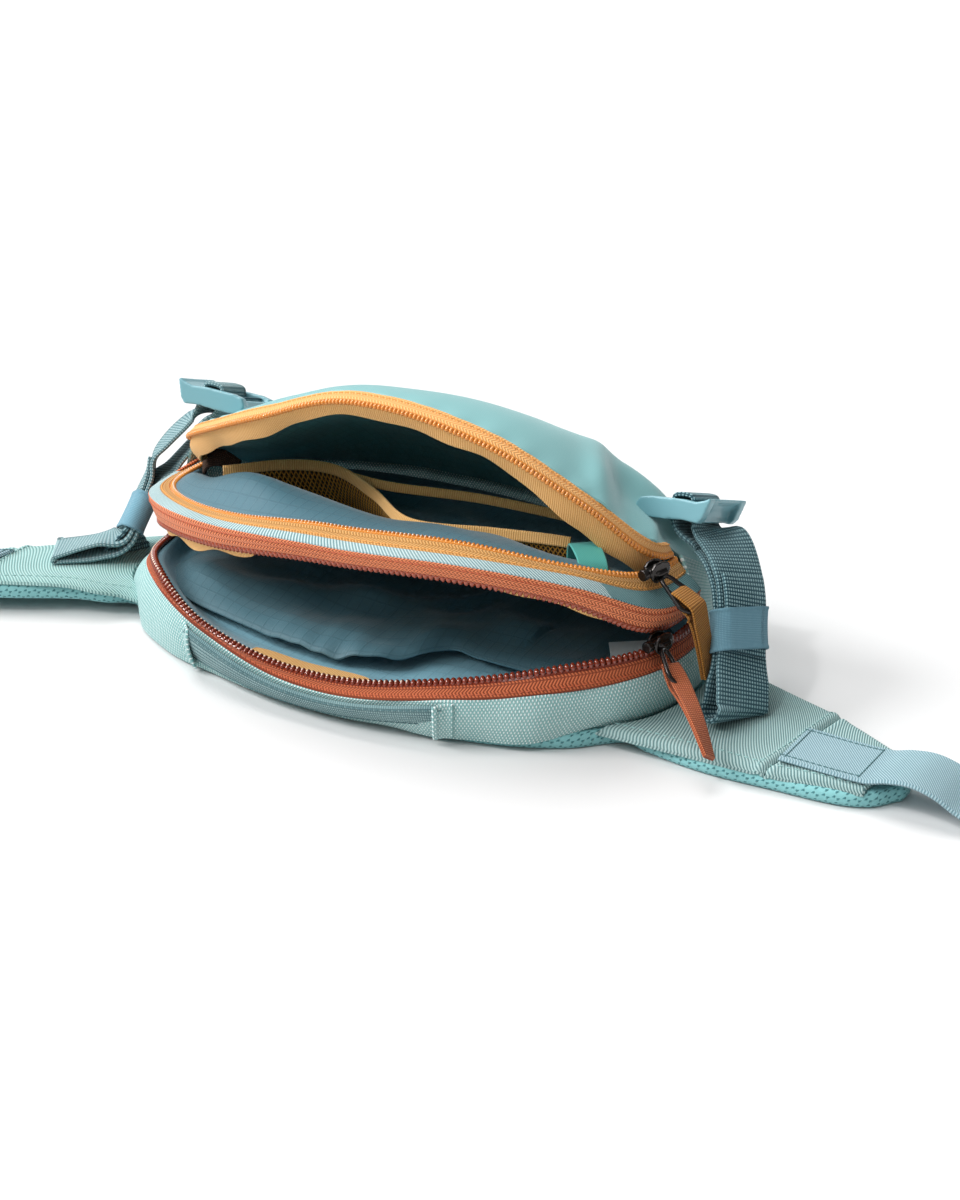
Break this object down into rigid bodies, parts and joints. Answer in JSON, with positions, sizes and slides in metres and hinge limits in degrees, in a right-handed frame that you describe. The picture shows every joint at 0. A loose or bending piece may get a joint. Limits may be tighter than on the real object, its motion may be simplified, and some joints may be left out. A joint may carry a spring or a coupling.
{
  "type": "hip pack",
  "caption": "Padded hip pack lying on its back with its main and front zips pulled open, with winged mesh back pad, side compression straps in ladder locks and a webbing belt.",
  "frame": {"origin": "middle of the back pad's underside, on the surface that the pack lies on", "axes": "+X along the belt to the wearer's side shown right, -Y towards the zip side, +Z out of the pack's front"},
  "size_m": [0.5926, 0.1588, 0.1161],
  "materials": {
    "mesh_pad": "perforated foam mesh",
    "twill": "diagonal twill",
    "wall_weave": "coarse plain weave with light flecks",
    "front_weave": "fine smooth weave",
    "rust_tape": "knitted zip tape",
    "rust_coil": "nylon coil",
    "mustard_tape": "knitted zip tape",
    "mustard_coil": "nylon coil",
    "mustard_cloth": "fine plain weave",
    "mustard_mesh": "open knitted mesh",
    "lining": "light ripstop",
    "strap_webbing": "ribbed webbing",
    "belt_webbing": "fine diagonal webbing",
    "elastic": "ribbed elastic",
    "plastic": "moulded satin plastic",
    "gunmetal": "dark gunmetal",
    "rust_webbing": "folded woven tape",
    "mustard_webbing": "folded woven tape",
    "ribbon": "narrow grosgrain",
    "label": "blank woven label"
  },
  "bodies": {
    "root": {"back_pad": "mesh_pad", "wing_cover_left": "twill", "wing_cover_right": "twill", "wing_tip_left": "twill", "wing_tip_right": "twill", "mid_strip": "twill", "lower_wall": "wall_weave", "bottom_gusset": "wall_weave", "front_panel": "front_weave", "rust_tape_lower": "rust_tape", "rust_tape_upper": "rust_tape", "rust_teeth_lower": "rust_coil", "rust_teeth_upper": "rust_coil", "mustard_tape_lower": "mustard_tape", "mustard_tape_upper": "mustard_tape", "mustard_teeth_lower": "mustard_coil", "mustard_teeth_upper": "mustard_coil", "mustard_facing": "mustard_cloth", "pocket_binding": "mustard_cloth", "mesh_pocket": "mustard_mesh", "front_lining": "lining", "divider": "lining", "main_lining": "lining", "side_strap_left": "strap_webbing", "side_strap_right": "strap_webbing", "lock_tab_left": "strap_webbing", "lock_tab_right": "strap_webbing", "grab_handle": "strap_webbing", "belt_left": "belt_webbing", "belt_right": "belt_webbing", "keeper_left": "elastic", "keeper_right": "elastic", "lock_left": "plastic", "lock_right": "plastic", "belt_clip_left": "plastic", "belt_clip_right": "plastic", "slider_rust": "gunmetal", "slider_mustard": "gunmetal", "key_ribbon": "ribbon", "care_label": "label"},
    "pull_rust": {"pull_wire_rust": "gunmetal", "pull_tab_rust": "rust_webbing"},
    "pull_mustard": {"pull_wire_mustard": "gunmetal", "pull_tab_mustard": "mustard_webbing"}
  },
  "joints": [
    {"name": "rust_pull_swing", "type": "hinge", "parent": "root", "child": "pull_rust", "pos_m": [0.1156, -0.0365, 0.036], "axis": [-0.6775, -0.7355, 0], "range_deg": [0, 60]},
    {"name": "mustard_pull_swing", "type": "hinge", "parent": "root", "child": "pull_mustard", "pos_m": [0.1115, -0.033, 0.0625], "axis": [-0.0571, -0.9984, 0], "range_deg": [0, 60]}
  ]
}
